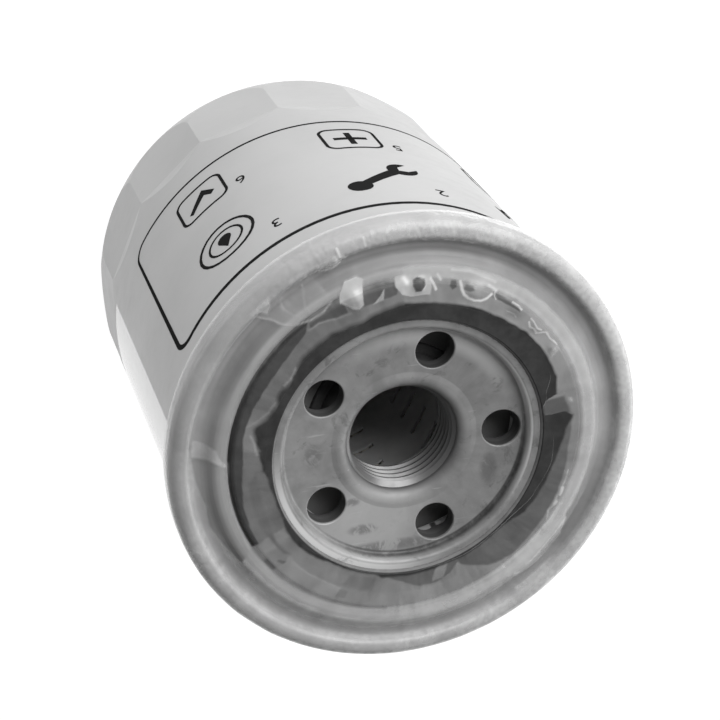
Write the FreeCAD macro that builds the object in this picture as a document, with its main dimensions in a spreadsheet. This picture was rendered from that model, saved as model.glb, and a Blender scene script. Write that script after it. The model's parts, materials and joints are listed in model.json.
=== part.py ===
import FreeCAD, Part
import math
import os

import Sketcher
from FreeCAD import Placement, Rotation, Vector

# Spin-on fuel filter, in millimetres. It stands on its closed end with the threaded end up: the origin is
# the centre of the closed end's underside and +Z is the axis of the can and of the mounting thread.

# ---------------------------------------------------------------- driving dimensions

DRIVING_DIMENSIONS = (
    ("can_radius", 40.0, "outside of the can's straight wall"),
    ("can_sheet", 0.6, "sheet the can is drawn from"),
    ("can_end_flat", 33.0, "where the closed end's slope would meet the standing plane"),
    ("can_end_slope", 11.0, "height where the slope would meet the straight wall"),
    ("can_end_round", 10.0, "rounding between standing ring and slope"),
    ("can_wall_round", 23.0, "rounding between slope and straight wall"),
    ("dish_radius", 19.0, "inner edge of the standing ring"),
    ("dish_depth", 2.2, "how far the closed end is dished in"),
    ("flat_count", 15, "wrench flats round the closed end"),
    ("flat_reach", 39.12, "distance of a wrench flat from the axis"),
    ("flat_top", 34.0, "height where the wrench flats run out"),
    ("flat_runout", 5.0, "height of the slope at the top of a flat"),
    ("flat_turn", 13.0, "turn of the flats against the first inlet port, degrees"),
    ("plate_level", 100.0, "height of the base plate's sealing land"),
    ("seam_radius", 42.0, "outside of the double seam"),
    ("seam_top", 100.3, "crest of the double seam"),
    ("seam_foot", 95.3, "lower edge of the double seam"),
    ("hook_top", 99.5, "top of the can's turned-out flange inside the seam"),
    ("hook_foot", 96.3, "lower end of the can's body hook"),
    ("lid_sheet", 0.6, "sheet of the seaming lid"),
    ("seam_gap", 0.05, "play between the layers of the seam"),
    ("chuck_wall", 38.75, "inner face of the seam"),
    ("channel_floor", 98.4, "floor of the shallow channel inside the seam"),
    ("channel_inner", 35.8, "inner foot of the channel"),
    ("bead_outer", 34.2, "outer edge of the lid's inner bead"),
    ("bead_top", 100.2, "crest of the lid's inner bead"),
    ("groove_radius", 31.9, "outer wall of the gasket groove"),
    ("groove_floor", 95.0, "floor of the gasket groove"),
    ("lid_bore", 25.0, "hole in the lid for the base plate's ring"),
    ("gasket_inner", 24.4, "gasket inner radius"),
    ("gasket_outer", 31.4, "gasket outer radius"),
    ("gasket_top", 100.6, "gasket sealing face"),
    ("plate_radius", 37.0, "outer edge of the base plate's flange"),
    ("plate_thick", 3.0, "thickness of the base plate"),
    ("ring_outer", 24.25, "outside of the raised ring"),
    ("ring_crest", 22.5, "inner edge of the ring's narrow top"),
    ("ring_foot", 21.9, "foot of the ring's inner slope"),
    ("floor_outer", 97.8, "height of the port floor at the ring"),
    ("floor_inner", 97.2, "height of the port floor at the boss"),
    ("boss_foot", 13.2, "foot of the low boss round the thread"),
    ("boss_crest", 97.65, "height the boss slope aims at above the bore"),
    ("boss_round", 2.0, "rounded mouth of the boss"),
    ("port_count", 5, "inlet ports"),
    ("port_circle", 17.7, "radius of the port circle"),
    ("port_radius", 3.5, "radius of an inlet port"),
    ("port_easing", 0.25, "rounding of a port's upper edge"),
    ("bore_radius", 9.188, "minor radius of the M20 x 1.5 thread"),
    ("thread_radius", 10.0, "major radius of the thread"),
    ("thread_pitch", 1.5, "thread pitch"),
    ("bore_mouth", 95.45, "height of the chamfer's outer edge"),
    ("neck_radius", 12.6, "outside of the drawn neck"),
    ("neck_foot", 87.9, "lower end of the neck"),
    ("weld_count", 8, "spot welds between lid and plate"),
    ("weld_circle", 28.4, "radius of the weld circle"),
    ("weld_radius", 1.6, "radius of a weld nugget"),
    ("weld_depth", 0.3, "how far a nugget reaches into each sheet"),
    ("cap_radius", 34.6, "outside of the element's end caps"),
    ("cap_sheet", 0.5, "sheet of the end caps and the centre tube"),
    ("cap_skirt", 6.0, "height of an end cap's skirt"),
    ("cap_hole", 14.1, "hole in the top end cap"),
    ("element_top", 89.0, "upper face of the top end cap"),
    ("element_foot", 19.5, "lower face of the bottom end cap"),
    ("potting", 2.0, "depth of the adhesive in each cap"),
    ("tube_radius", 16.4, "outside of the centre tube"),
    ("slot_columns", 8, "columns of slots round the centre tube"),
    ("slot_rows", 9, "slots in a column"),
    ("slot_first", 26.5, "lowest corner of the lowest slot"),
    ("slot_step", 6.8, "distance from slot to slot up a column"),
    ("slot_half", 2.6, "half the width that a slot spans"),
    ("slot_rise", 3.0, "slant of a slot"),
    ("slot_width", 1.3, "opening of a slot"),
    ("media_inner", 16.8, "inner fold line of the pleats"),
    ("media_outer", 33.6, "outer fold line of the pleats"),
    ("pleat_count", 48, "pleats"),
    ("paper", 0.5, "thickness of the filter paper"),
    ("seal_bore", 12.68, "bore of the inner seal, sliding on the neck"),
    ("seal_flange", 15.6, "flanges of the inner seal"),
    ("seal_top", 94.3, "top of the inner seal, against the plate"),
    ("spring_radius", 22.0, "mean radius of the spring"),
    ("spring_wire", 2.2, "spring wire diameter"),
    ("spring_turns", 2.5, "open turns between the closed turn at each end"),
    ("seat_sheet", 0.75, "sheet of the spring seat"),
    ("film_gap", 0.08, "distance of the shrink film from what it covers"),
    ("film_thick", 0.12, "thickness allowed for the shrink film"),
)

doc = FreeCAD.newDocument("fuel_filter")
sheet = doc.addObject("Spreadsheet::Sheet", "dims")
for row, (alias, size, meaning) in enumerate(DRIVING_DIMENSIONS, start=1):
    sheet.set(f"A{row}", alias)
    sheet.set(f"B{row}", str(size))
    sheet.set(f"C{row}", meaning)
    sheet.setAlias(f"B{row}", alias)
doc.recompute()

DIMENSION_NAMES = [alias for alias, size, meaning in DRIVING_DIMENSIONS]
parts = []


# ---------------------------------------------------------------- helpers

def terms(text):
    """Signed terms of a sum such as 'seam_radius - 2*lid_sheet + 0.1', as (sign, factor, name or number)."""
    sign = 1
    for word in text.split():
        if word in ("+", "-"):
            sign = 1 if word == "+" else -1
            continue
        factor, _, quantity = word.rpartition("*")
        yield sign, float(factor or 1), quantity


def measure(text):
    """The number that a sum of dimension names and numbers comes to now."""
    total = 0.0
    for sign, factor, quantity in terms(text):
        known = quantity in DIMENSION_NAMES
        total += sign * factor * (float(sheet.get(quantity)) if known else float(quantity))
    return total


def formula(text):
    """The same sum as an expression on the spreadsheet's cells."""
    written = ""
    for sign, factor, quantity in terms(text):
        cell = f"dims.{quantity}" if quantity in DIMENSION_NAMES else quantity
        written += f" {'+' if sign > 0 else '-'} {factor:g} * {cell}"
    return written.strip(" +")


def keep(piece, label):
    """Names a finished sub-part, which is exported under that name."""
    piece.Label = label
    parts.append(piece)
    return piece


def origin_feature(body, role):
    """One of a body's own origin planes or axes."""
    return next(feature for feature in body.Origin.OriginFeatures if feature.Role == role)


def new_sketch(body, name, plane):
    """An empty sketch on one of the body's origin planes."""
    sketch = body.newObject("Sketcher::SketchObject", name)
    sketch.AttachmentSupport = [(origin_feature(body, plane), "")]
    sketch.MapMode = "FlatFace"
    return sketch


def bind_point(sketch, geometry, point, across, up):
    """Holds a sketch point at a place given by two sums of dimensions."""
    for kind, text, axis in (("DistanceX", across, -2), ("DistanceY", up, -1)):
        if abs(measure(text)) < 1e-9:
            sketch.addConstraint(Sketcher.Constraint("PointOnObject", geometry, point, axis))
            continue
        index = sketch.addConstraint(Sketcher.Constraint(kind, -1, 1, geometry, point, measure(text)))
        sketch.setExpression(f"Constraints[{index}]", formula(text))


def corner_cut(before, here, after, radius):
    """Tangent points, centre and turning sense of the arc that rounds a corner."""
    inward = (before - here).normalize()
    outward = (after - here).normalize()
    half_angle = inward.getAngle(outward) / 2
    reach = radius / math.tan(half_angle)
    centre = here + (inward + outward).normalize() * (radius / math.sin(half_angle))
    turns_left = (here - before).cross(after - here).z > 0
    return here + inward * reach, here + outward * reach, centre, turns_left


def section(body, name, corners, plane="XZ_Plane"):
    """Closed profile through corners given as (across, up) or (across, up, rounding)."""
    sketch = new_sketch(body, name, plane)
    count = len(corners)
    places = [Vector(measure(corner[0]), measure(corner[1]), 0) for corner in corners]
    starts, ends, arcs = list(places), list(places), {}
    for i, corner in enumerate(corners):
        if len(corner) == 3:
            radius = measure(corner[2])
            cut = corner_cut(places[i - 1], places[i], places[(i + 1) % count], radius)
            ends[i], starts[i] = cut[0], cut[1]
            arcs[i] = (cut[2], cut[3], radius)
    for i in range(count):
        sketch.addGeometry(Part.LineSegment(starts[i], ends[(i + 1) % count]), False)
    for i, corner in enumerate(corners):
        before = (i - 1) % count
        if i not in arcs:
            sketch.addConstraint(Sketcher.Constraint("Coincident", before, 2, i, 1))
            bind_point(sketch, i, 1, corner[0], corner[1])
            continue
        centre, turns_left, radius = arcs[i]
        first, last = (ends[i], starts[i]) if turns_left else (starts[i], ends[i])
        angles = [math.atan2(point.y - centre.y, point.x - centre.x) for point in (first, last)]
        if angles[1] < angles[0]:
            angles[1] += 2 * math.pi
        circle = Part.Circle(centre, Vector(0, 0, 1), radius)
        arc = sketch.addGeometry(Part.ArcOfCircle(circle, *angles), False)
        arc_in, arc_out = (1, 2) if turns_left else (2, 1)
        sketch.addConstraint(Sketcher.Constraint("Tangent", before, 2, arc, arc_in))
        sketch.addConstraint(Sketcher.Constraint("Tangent", i, 1, arc, arc_out))
        index = sketch.addConstraint(Sketcher.Constraint("Radius", arc, radius))
        sketch.setExpression(f"Constraints[{index}]", formula(corner[2]))
        tip = sketch.addGeometry(Part.Point(places[i]), True)
        sketch.addConstraint(Sketcher.Constraint("PointOnObject", tip, 1, before))
        sketch.addConstraint(Sketcher.Constraint("PointOnObject", tip, 1, i))
        bind_point(sketch, tip, 1, corner[0], corner[1])
    return sketch


def turned_body(name, corners):
    """A body of revolution about Z."""
    body = doc.addObject("PartDesign::Body", name)
    profile = section(body, f"{name}_profile", corners)
    turn = body.newObject("PartDesign::Revolution", f"{name}_turn")
    turn.Profile = profile
    turn.ReferenceAxis = (profile, ["V_Axis"])
    turn.Angle = 360
    doc.recompute()
    return body


def cut_through(body, sketch, name, length, both_sides=False, reverse=False):
    """A pocket from a sketch, checked to have taken material away."""
    volume = body.Shape.Volume
    pocket = body.newObject("PartDesign::Pocket", name)
    pocket.Profile = sketch
    pocket.setExpression("Length", formula(length))
    pocket.Midplane = both_sides
    pocket.Reversed = reverse
    pocket.Refine = False
    doc.recompute()
    if body.Shape.Volume > volume - 1e-6:
        raise RuntimeError(f"{name} cuts nothing")
    return pocket


def repeat_round(body, feature, name, count):
    """The feature repeated round Z."""
    pattern = body.newObject("PartDesign::PolarPattern", name)
    pattern.Originals = [feature]
    pattern.Axis = (origin_feature(body, "Z_Axis"), [""])
    pattern.Angle = 360
    pattern.setExpression("Occurrences", formula(count))
    pattern.Refine = False
    body.Tip = pattern
    doc.recompute()
    return pattern


def subtract(name, base, tool):
    """One solid less another."""
    cut = doc.addObject("Part::Cut", name)
    cut.Base = base
    cut.Tool = tool
    cut.Refine = False
    doc.recompute()
    return cut


# ---------------------------------------------------------------- housing

def with_wrench_flats(body, inset):
    """Presses the wrench flats into a can form; inset moves them in by the sheet for the inside."""
    name = body.Name
    outside = "can_radius + 5"
    beside = f"flat_reach - {inset}"
    flat = section(body, f"{name}_flat", [
        (beside, "0 - 1"),
        (outside, "0 - 1"),
        (outside, "flat_top + flat_runout"),
        (f"can_radius - {inset} + 0.35", "flat_top + 0.4*flat_runout"),
        (beside, "flat_top - flat_runout"),
    ])
    pocket = cut_through(body, flat, f"{name}_flat_cut", "0.6*can_radius", both_sides=True)
    repeat_round(body, pocket, f"{name}_flats", "flat_count")


def make_can():
    """Deep-drawn can: dished closed end, wrench flats, straight wall and the seam's body hook."""
    outside = turned_body("can_outside", [
        ("0", "dish_depth"),
        ("dish_radius - 1.2*dish_depth", "dish_depth", "2"),
        ("dish_radius", "0", "2"),
        ("can_end_flat", "0", "can_end_round"),
        ("can_radius", "can_end_slope", "can_wall_round"),
        ("can_radius", "hook_top - can_sheet"),
        ("can_radius + lid_sheet + 2*seam_gap", "hook_top - can_sheet"),
        ("can_radius + lid_sheet + 2*seam_gap", "hook_foot"),
        ("can_radius + lid_sheet + 2*seam_gap + can_sheet", "hook_foot"),
        ("can_radius + lid_sheet + 2*seam_gap + can_sheet", "hook_top", "1.1"),
        ("0", "hook_top"),
    ])
    with_wrench_flats(outside, "0")
    inside = turned_body("can_inside", [
        ("0", "dish_depth + can_sheet"),
        ("dish_radius - 1.2*dish_depth - 0.4*can_sheet", "dish_depth + can_sheet", "2 + can_sheet"),
        ("dish_radius - 0.4*can_sheet", "can_sheet", "2 - can_sheet"),
        ("can_end_flat - 0.55*can_sheet", "can_sheet", "can_end_round - can_sheet"),
        ("can_radius - can_sheet", "can_end_slope + 0.3*can_sheet", "can_wall_round - can_sheet"),
        ("can_radius - can_sheet", "hook_top + 1"),
        ("0", "hook_top + 1"),
    ])
    with_wrench_flats(inside, "can_sheet")
    can = subtract("can_shell", outside, inside)
    can.Placement = Placement(Vector(), Rotation(Vector(0, 0, 1), measure("flat_turn")))
    return keep(can, "housing_can")


def weld_group():
    """Spot-weld nuggets, half in the lid's groove floor and half in the base plate's flange."""
    body = doc.addObject("PartDesign::Body", "weld_body")
    sketch = new_sketch(body, "weld_circle_sketch", "XY_Plane")
    sketch.AttachmentOffset = Placement(Vector(0, 0, measure("groove_floor - lid_sheet - weld_depth")), Rotation())
    sketch.setExpression("AttachmentOffset.Base.z", formula("groove_floor - lid_sheet - weld_depth"))
    radius = measure("weld_radius")
    sketch.addGeometry(Part.Circle(Vector(measure("weld_circle"), 0, 0), Vector(0, 0, 1), radius), False)
    sketch.addConstraint(Sketcher.Constraint("PointOnObject", 0, 3, -1))
    index = sketch.addConstraint(Sketcher.Constraint("DistanceX", -1, 1, 0, 3, measure("weld_circle")))
    sketch.setExpression(f"Constraints[{index}]", formula("weld_circle"))
    index = sketch.addConstraint(Sketcher.Constraint("Radius", 0, radius))
    sketch.setExpression(f"Constraints[{index}]", formula("weld_radius"))
    pad = body.newObject("PartDesign::Pad", "weld_pad")
    pad.Profile = sketch
    pad.setExpression("Length", formula("2*weld_depth"))
    body.AllowCompound = True
    doc.recompute()
    repeat_round(body, pad, "weld_ring", "weld_count")
    return keep(body, "weld_nuggets")


def make_lid(welds):
    """Seaming lid: gasket groove, inner bead, shallow channel and the outer half of the double seam."""
    inner_hook = "can_radius + seam_gap"
    under = "seam_radius - lid_sheet"
    form = turned_body("lid_form", [
        ("lid_bore", "groove_floor"),
        ("groove_radius", "groove_floor", "0.8"),
        ("groove_radius", "bead_top", "1.1"),
        ("bead_outer", "bead_top", "1.8"),
        ("channel_inner", "channel_floor", "1.5"),
        ("chuck_wall", "channel_floor", "1.0"),
        ("chuck_wall", "seam_top", "0.8"),
        ("seam_radius", "seam_top", "1.9"),
        ("seam_radius", "seam_foot", "1.0"),
        (inner_hook, "seam_foot", "0.8"),
        (inner_hook, "hook_top - can_sheet - 0.2"),
        (f"{inner_hook} + lid_sheet", "hook_top - can_sheet - 0.2"),
        (f"{inner_hook} + lid_sheet", "seam_foot + lid_sheet", "0.3"),
        (under, "seam_foot + lid_sheet", "0.4"),
        (under, "seam_top - lid_sheet", "1.3"),
        ("chuck_wall + lid_sheet", "seam_top - lid_sheet", "0.15"),
        ("chuck_wall + lid_sheet", "channel_floor - lid_sheet", "0.9"),
        ("channel_inner - 0.45*lid_sheet", "channel_floor - lid_sheet", "1.5"),
        ("bead_outer - 0.45*lid_sheet", "bead_top - lid_sheet", "1.2"),
        ("groove_radius + lid_sheet", "bead_top - lid_sheet", "0.5"),
        ("groove_radius + lid_sheet", "groove_floor - lid_sheet", "1.4"),
        ("lid_bore", "groove_floor - lid_sheet"),
    ])
    return keep(subtract("lid_welded", form, welds), "seaming_lid")


def make_seam_compound():
    """Thin ring of sealing compound in the top of the double seam."""
    return keep(turned_body("compound", [
        ("can_radius - can_sheet", "hook_top + 0.03"),
        ("can_radius + seam_gap", "hook_top + 0.03"),
        ("can_radius + seam_gap", "seam_top - lid_sheet - 0.03"),
        ("can_radius - can_sheet + 0.1", "seam_top - lid_sheet - 0.03"),
    ]), "seam_compound")


# ---------------------------------------------------------------- threaded base plate and gasket

def sectored_circle(sketch, radius, count):
    """A circle drawn as equal arcs, so that the wall cut from it has as many faces."""
    step = 2 * math.pi / count
    circle = Part.Circle(Vector(), Vector(0, 0, 1), measure(radius))
    for i in range(count):
        sketch.addGeometry(Part.ArcOfCircle(circle, i * step, (i + 1) * step), False)
    for i in range(count):
        sketch.addConstraint(Sketcher.Constraint("Coincident", i, 2, (i + 1) % count, 1))
    for i in range(count - 1):
        sketch.addConstraint(Sketcher.Constraint("Coincident", i, 3, -1, 1))
    sketch.addConstraint(Sketcher.Constraint("PointOnObject", count - 1, 3, -1))
    index = sketch.addConstraint(Sketcher.Constraint("Radius", 0, measure(radius)))
    sketch.setExpression(f"Constraints[{index}]", formula(radius))


def cut_thread(body):
    """M20 x 1.5 internal thread: a 60 degree groove swept on a helix up the whole bore."""
    groove = section(body, "thread_groove", [
        ("bore_radius - 0.05", "neck_foot - thread_pitch"),
        ("bore_radius - 0.05", "neck_foot - 0.2*thread_pitch"),
        ("thread_radius", "neck_foot - 0.55*thread_pitch"),
        ("thread_radius", "neck_foot - 0.65*thread_pitch"),
    ])
    volume = body.Shape.Volume
    helix = body.newObject("PartDesign::SubtractiveHelix", "thread_helix")
    helix.Profile = groove
    helix.ReferenceAxis = (groove, ["V_Axis"])
    helix.Mode = 0
    helix.setExpression("Pitch", formula("thread_pitch"))
    helix.setExpression("Height", formula("bore_mouth - neck_foot + 3*thread_pitch"))
    helix.Refine = False
    doc.recompute()
    if body.Shape.Volume > volume - 1:
        raise RuntimeError("the thread cuts nothing")


def ease_ports(body, ports):
    """Rounds the upper edge of every inlet port."""
    floor, reach = measure("floor_inner - 1"), measure("port_radius")
    edges = []
    for number, edge in enumerate(ports.Shape.Edges, start=1):
        box = edge.BoundBox
        middle = Vector(box.Center.x, box.Center.y, 0)
        if box.ZMin > floor and abs(middle.Length - measure("port_circle")) < reach and box.DiagonalLength > reach:
            edges.append(f"Edge{number}")
    volume = body.Shape.Volume
    easing = body.newObject("PartDesign::Fillet", "port_easing")
    easing.Base = (ports, edges)
    easing.setExpression("Radius", formula("port_easing"))
    easing.Refine = False
    doc.recompute()
    if body.Shape.Volume > volume - 1e-6:
        raise RuntimeError("the port easing cuts nothing")


def make_base_plate(welds):
    """Stamped base plate: raised ring, sloping port floor, low boss and a drawn, threaded neck."""
    core = "bore_radius - 0.5"
    body = turned_body("plate_form", [
        (core, "neck_foot"),
        ("neck_radius", "neck_foot", "0.6"),
        ("neck_radius", "plate_level - plate_thick - 2.6", "0.3"),
        ("ring_outer - plate_thick", "plate_level - plate_thick - 2.6", "1.0"),
        ("ring_outer - plate_thick", "groove_floor - lid_sheet - plate_thick", "1.0"),
        ("plate_radius", "groove_floor - lid_sheet - plate_thick"),
        ("plate_radius", "groove_floor - lid_sheet", "0.5"),
        ("ring_outer", "groove_floor - lid_sheet"),
        ("ring_outer", "plate_level", "0.35"),
        ("ring_crest", "plate_level", "0.8"),
        ("ring_foot", "floor_outer", "0.5"),
        ("boss_foot", "floor_inner", "0.6"),
        ("thread_radius + 0.3", "boss_crest", "boss_round"),
        ("thread_radius", "bore_mouth"),
        ("bore_radius", "bore_mouth - thread_radius + bore_radius"),
        (core, "bore_mouth - thread_radius + bore_radius"),
    ])
    bore = new_sketch(body, "bore_sketch", "XY_Plane")
    bore.setExpression("AttachmentOffset.Base.z", formula("neck_foot - 1"))
    sectored_circle(bore, "bore_radius", 8)
    doc.recompute()
    cut_through(body, bore, "bore", "bore_mouth - neck_foot + 2", reverse=True)
    port = new_sketch(body, "port_sketch", "XY_Plane")
    port.setExpression("AttachmentOffset.Base.z", formula("plate_level + 1"))
    radius = measure("port_radius")
    port.addGeometry(Part.Circle(Vector(measure("port_circle"), 0, 0), Vector(0, 0, 1), radius), False)
    port.addConstraint(Sketcher.Constraint("PointOnObject", 0, 3, -1))
    index = port.addConstraint(Sketcher.Constraint("DistanceX", -1, 1, 0, 3, measure("port_circle")))
    port.setExpression(f"Constraints[{index}]", formula("port_circle"))
    index = port.addConstraint(Sketcher.Constraint("Radius", 0, radius))
    port.setExpression(f"Constraints[{index}]", formula("port_radius"))
    pocket = cut_through(body, port, "port", "3*plate_thick")
    ports = repeat_round(body, pocket, "ports", "port_count")
    ease_ports(body, ports)
    cut_thread(body)
    return keep(subtract("plate_welded", body, welds), "base_plate")


def make_gasket():
    """Square-section sealing gasket round the base plate's ring."""
    return keep(turned_body("gasket", [
        ("gasket_inner", "groove_floor + 0.05", "0.4"),
        ("gasket_outer", "groove_floor + 0.05", "0.4"),
        ("gasket_outer", "gasket_top", "0.5"),
        ("gasket_inner", "gasket_top", "0.2"),
    ]), "sealing_gasket")


# ---------------------------------------------------------------- filter element

def make_caps():
    """The two sheet caps that close the ends of the pleated pack."""
    side = "cap_radius - cap_sheet"
    top = turned_body("upper_cap", [
        ("cap_hole", "element_top - cap_sheet"),
        (side, "element_top - cap_sheet", "0.5"),
        (side, "element_top - cap_skirt"),
        ("cap_radius", "element_top - cap_skirt"),
        ("cap_radius", "element_top", "1.0"),
        ("cap_hole", "element_top"),
    ])
    bottom = turned_body("lower_cap", [
        ("0", "element_foot"),
        ("cap_radius", "element_foot", "1.0"),
        ("cap_radius", "element_foot + cap_skirt"),
        (side, "element_foot + cap_skirt"),
        (side, "element_foot + cap_sheet", "0.5"),
        ("0", "element_foot + cap_sheet"),
    ])
    return keep(top, "top_end_cap"), keep(bottom, "bottom_end_cap")


def make_potting():
    """Adhesive that holds the pleats' ends in the caps."""
    inner, outer = "tube_radius + 0.1", "cap_radius - cap_sheet - 0.05"
    for label, against_cap, free in (
            ("top_potting", "element_top - cap_sheet - 0.02", "element_top - cap_sheet - potting"),
            ("bottom_potting", "element_foot + cap_sheet + 0.02", "element_foot + cap_sheet + potting")):
        keep(turned_body(f"{label}_ring", [
            (inner, against_cap),
            (outer, against_cap, "0.7"),
            (outer, free),
            (inner, free),
        ]), label)


def make_tube():
    """Perforated centre tube with slanting slots."""
    body = turned_body("tube", [
        ("tube_radius - cap_sheet", "element_foot + cap_sheet"),
        ("tube_radius", "element_foot + cap_sheet"),
        ("tube_radius", "element_top - cap_sheet - 0.1"),
        ("tube_radius - cap_sheet", "element_top - cap_sheet - 0.1"),
    ])
    slots = new_sketch(body, "slots", "XZ_Plane")
    for row in range(round(measure("slot_rows"))):
        low = f"slot_first + {row}*slot_step"
        outline = [
            ("0 - slot_half", low),
            ("slot_half", f"{low} + slot_rise"),
            ("slot_half", f"{low} + slot_rise + slot_width"),
            ("0 - slot_half", f"{low} + slot_width"),
        ]
        places = [Vector(measure(across), measure(up), 0) for across, up in outline]
        first = 4 * row
        for i in range(4):
            slots.addGeometry(Part.LineSegment(places[i], places[(i + 1) % 4]), False)
        for i in range(4):
            slots.addConstraint(Sketcher.Constraint("Coincident", first + i, 2, first + (i + 1) % 4, 1))
            bind_point(slots, first + i, 1, *outline[i])
    doc.recompute()
    pocket = cut_through(body, slots, "slot_row", "tube_radius + 1")
    repeat_round(body, pocket, "slot_pattern", "slot_columns")
    return keep(body, "centre_tube")


def make_media():
    """Pleated paper: one band folded to and fro between two radii, closed into a ring."""
    count = round(measure("pleat_count"))
    paper = measure("paper")
    outer, inner = measure("media_outer"), measure("media_inner")
    wide_tip, narrow_tip = 1.0, 0.85
    foot, top = measure("element_foot + cap_sheet + potting"), measure("element_top - cap_sheet - potting")

    def folded(tip_radius, valley_radius, tip_half, valley_half):
        """Outline of the folds: per pleat two points at the tip and two at the valley."""
        points = []
        for i in range(count):
            centre = 2 * math.pi * i / count
            for radius, half, side in ((valley_radius, valley_half, -1), (tip_radius, tip_half, -1),
                                       (tip_radius, tip_half, 1), (valley_radius, valley_half, 1)):
                angle = centre + side * half / radius
                points.append(Vector(radius * math.cos(angle), radius * math.sin(angle), foot))
        return Part.Face(Part.makePolygon(points + points[:1]))

    outside = folded(outer, inner + paper, wide_tip, narrow_tip)
    inside = folded(outer - paper, inner, wide_tip - paper, narrow_tip - paper)
    media = doc.addObject("Part::Feature", "media")
    media.Shape = outside.cut(inside).extrude(Vector(0, 0, top - foot))
    return keep(media, "pleated_media")


def make_clip():
    """Folded steel strip that clamps the two end pleats of the paper band together."""
    body = doc.addObject("PartDesign::Body", "clip")
    profile = section(body, "clip_profile", [
        ("media_outer - 6", "1.1"),
        ("media_outer + 0.05", "1.1"),
        ("media_outer + 0.05", "0 - 1.1"),
        ("media_outer - 6", "0 - 1.1"),
        ("media_outer - 6", "0 - 1.45"),
        ("media_outer + 0.4", "0 - 1.45", "0.3"),
        ("media_outer + 0.4", "1.45", "0.3"),
        ("media_outer - 6", "1.45"),
    ], plane="XY_Plane")
    profile.setExpression("AttachmentOffset.Base.z", formula("element_foot + cap_skirt + 1"))
    pad = body.newObject("PartDesign::Pad", "clip_pad")
    pad.Profile = profile
    pad.setExpression("Length", formula("element_top - element_foot - 2*cap_skirt - 2"))
    doc.recompute()
    return keep(body, "media_clip")


def make_seal():
    """Rubber grommet in the top cap that slides on the neck and seals against the plate."""
    hole = "cap_hole - 0.05"
    return keep(turned_body("seal", [
        ("seal_bore", "element_top - 1.6"),
        ("seal_flange", "element_top - 1.6", "0.3"),
        ("seal_flange", "element_top - cap_sheet - 0.05"),
        (hole, "element_top - cap_sheet - 0.05"),
        (hole, "element_top + 0.05"),
        ("seal_flange", "element_top + 0.05"),
        ("seal_flange", "element_top + 1", "0.3"),
        ("cap_hole - 0.1", "element_top + 1"),
        ("cap_hole - 0.1", "seal_top", "0.3"),
        ("seal_bore", "seal_top", "0.5"),
    ]), "inner_seal")


# ---------------------------------------------------------------- spring

def make_spring_seat():
    """Pressed ring between spring and element, with a lip that centres the spring."""
    lip = "spring_radius - 0.5*spring_wire - 0.3"
    return keep(turned_body("seat", [
        (f"{lip} - seat_sheet", "element_foot - 0.05"),
        ("spring_radius + 4", "element_foot - 0.05"),
        ("spring_radius + 4", "element_foot - 0.05 - seat_sheet"),
        (lip, "element_foot - 0.05 - seat_sheet", "0.3"),
        (lip, "element_foot - 2.6"),
        (f"{lip} - seat_sheet", "element_foot - 2.6"),
    ]), "spring_seat")


def make_spring():
    """Coil spring between the closed end and the seat, with a closed turn at each end."""
    body = doc.addObject("PartDesign::Body", "spring")
    foot = "can_sheet + 0.5*spring_wire + 0.05"
    closed_rise = "spring_wire + 0.05"
    head = "element_foot - seat_sheet - 0.5*spring_wire - 0.1"
    stretches = (
        ("closed_foot", "spring_radius", foot, closed_rise, "1"),
        ("open_turns", "spring_radius", f"{foot} + {closed_rise}",
         "element_foot - seat_sheet - can_sheet - 3*spring_wire - 0.25", "spring_turns"),
        ("closed_head", "0 - spring_radius", f"{head} - spring_wire - 0.05", closed_rise, "1"),
    )
    for name, across, low, rise, turns in stretches:
        sketch = new_sketch(body, f"{name}_wire", "XZ_Plane")
        centre = Vector(measure(across), measure(low), 0)
        sketch.addGeometry(Part.Circle(centre, Vector(0, 0, 1), measure("0.5*spring_wire")), False)
        bind_point(sketch, 0, 3, across, low)
        index = sketch.addConstraint(Sketcher.Constraint("Radius", 0, measure("0.5*spring_wire")))
        sketch.setExpression(f"Constraints[{index}]", formula("0.5*spring_wire"))
        coil = body.newObject("PartDesign::AdditiveHelix", name)
        coil.Profile = sketch
        coil.ReferenceAxis = (sketch, ["V_Axis"])
        coil.Mode = 2
        coil.setExpression("Turns", formula(turns))
        coil.setExpression("Height", formula(rise))
        coil.Refine = False
        doc.recompute()
    return keep(body, "coil_spring")


# ---------------------------------------------------------------- shrink film

def make_film():
    """Clear shrink film round the seam, drawn in over the channel and the bead to the gasket groove."""
    outer = "film_gap + film_thick"
    level = "channel_floor + 0.3"
    return keep(turned_body("film", [
        ("seam_radius + film_gap", "seam_foot + 0.3"),
        (f"seam_radius + {outer}", "seam_foot + 0.3"),
        (f"seam_radius + {outer}", f"seam_top + {outer}", "1.9 + film_gap + film_thick"),
        ("chuck_wall - 0.3", f"seam_top + {outer}", "0.8"),
        ("chuck_wall - 1.4", f"{level} + {outer}", "0.8"),
        ("channel_inner + 0.2", f"{level} + {outer}", "1.0"),
        ("bead_outer + 0.2", f"bead_top + {outer}", "1.4"),
        ("groove_radius + 0.2", f"bead_top + {outer}"),
        ("groove_radius + 0.2", "bead_top + film_gap"),
        ("bead_outer + 0.2", "bead_top + film_gap", "1.4"),
        ("channel_inner + 0.2", f"{level} + film_gap", "1.0"),
        ("chuck_wall - 1.4", f"{level} + film_gap", "0.8"),
        ("chuck_wall - 0.3", "seam_top + film_gap", "0.8"),
        ("seam_radius + film_gap", "seam_top + film_gap", "1.9 + film_gap"),
    ]), "shrink_film")


# ---------------------------------------------------------------- assembly and export

make_can()
welds = weld_group()
make_lid(welds)
make_seam_compound()
make_base_plate(welds)
make_gasket()
make_caps()
make_potting()
make_tube()
make_media()
make_clip()
make_seal()
make_spring_seat()
make_spring()
make_film()
doc.recompute()

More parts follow.
